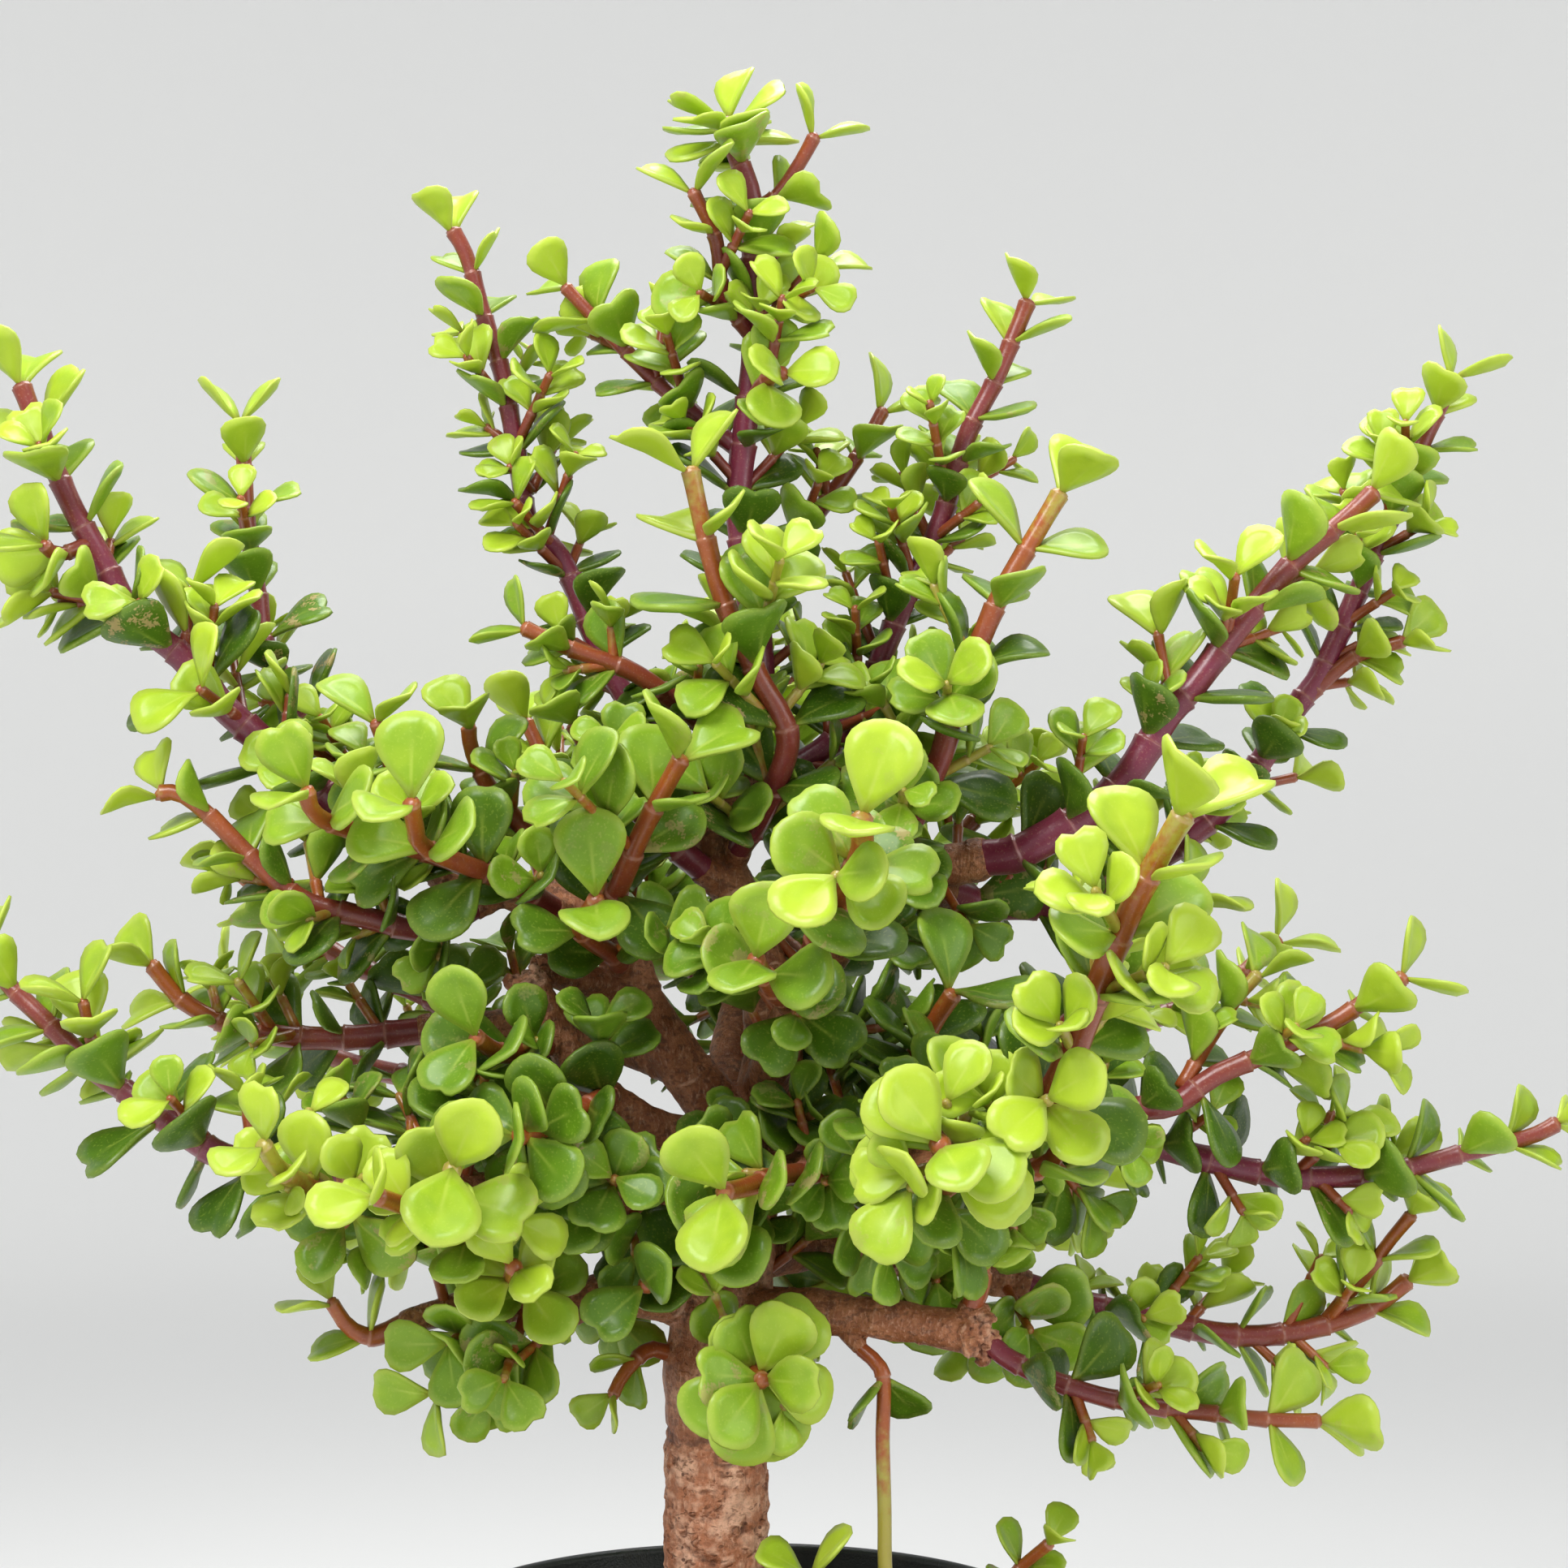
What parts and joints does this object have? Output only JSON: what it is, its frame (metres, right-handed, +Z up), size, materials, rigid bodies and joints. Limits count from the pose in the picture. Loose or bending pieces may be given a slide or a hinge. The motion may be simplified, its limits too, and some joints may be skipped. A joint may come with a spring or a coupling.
{
  "type": "dwarf jade bonsai",
  "caption": "Dwarf jade bonsai with a stout trunk, spreading limbs and leafy shoots with small thick round leaves, in a round nursery pot filled with soil.",
  "frame": {"origin": "middle of the underside of the pot, which stands on the surface", "axes": "+Z up, +X to the right seen from the front, the front of the plant faces -Y"},
  "size_m": [0.4139, 0.2527, 0.5017],
  "materials": {
    "pot": "satin",
    "soil": "matte",
    "bark": "matte",
    "foliage": "satin",
    "stem": "satin"
  },
  "bodies": {
    "root": {"pot": "pot", "soil": "soil", "trunk": "bark", "leader": "foliage", "left_spire": "foliage", "front_spire": "foliage", "right_spire": "foliage", "right_inner": "foliage", "right_bough": "foliage", "right_tower": "foliage", "left_bough": "foliage", "left_tower": "foliage", "left_fan": "foliage", "left_rosette_a": "foliage", "left_rosette_b": "foliage", "left_rosette_c": "foliage", "left_wing": "foliage", "left_wing_back": "foliage", "left_sweep": "foliage", "yellow_rosette_a": "foliage", "yellow_rosette_b": "foliage", "yellow_rosette_c": "foliage", "yellow_rosette_d": "foliage", "low_left_tip": "foliage", "low_left_hanger": "foliage", "low_left_sprig": "foliage", "left_heart": "foliage", "left_mid": "foliage", "centre_left": "foliage", "centre_left_low": "foliage", "mid_left_twig": "foliage", "dark_stub_shoot": "foliage", "front_bough": "foliage", "front_rosette": "foliage", "front_low_rosette": "foliage", "right_front_bough": "foliage", "big_rosette": "foliage", "front_right_low": "foliage", "right_horizontal": "foliage", "right_climber": "foliage", "right_thicket": "foliage", "right_leaf_fan": "foliage", "lower_right_red": "foliage", "lower_right_riser": "foliage", "hanging_shoot": "foliage", "right_low_bough": "foliage", "low_front_rosette": "foliage", "heart_leaves": "foliage", "dark_collar": "foliage", "soil_sprig": "foliage", "soil_clump": "foliage", "back_centre": "foliage", "back_high_left": "foliage", "back_high_right": "foliage", "back_left_low": "foliage", "back_left_drop": "foliage", "back_right_low": "foliage", "back_right_drop": "foliage"}
  },
  "joints": []
}
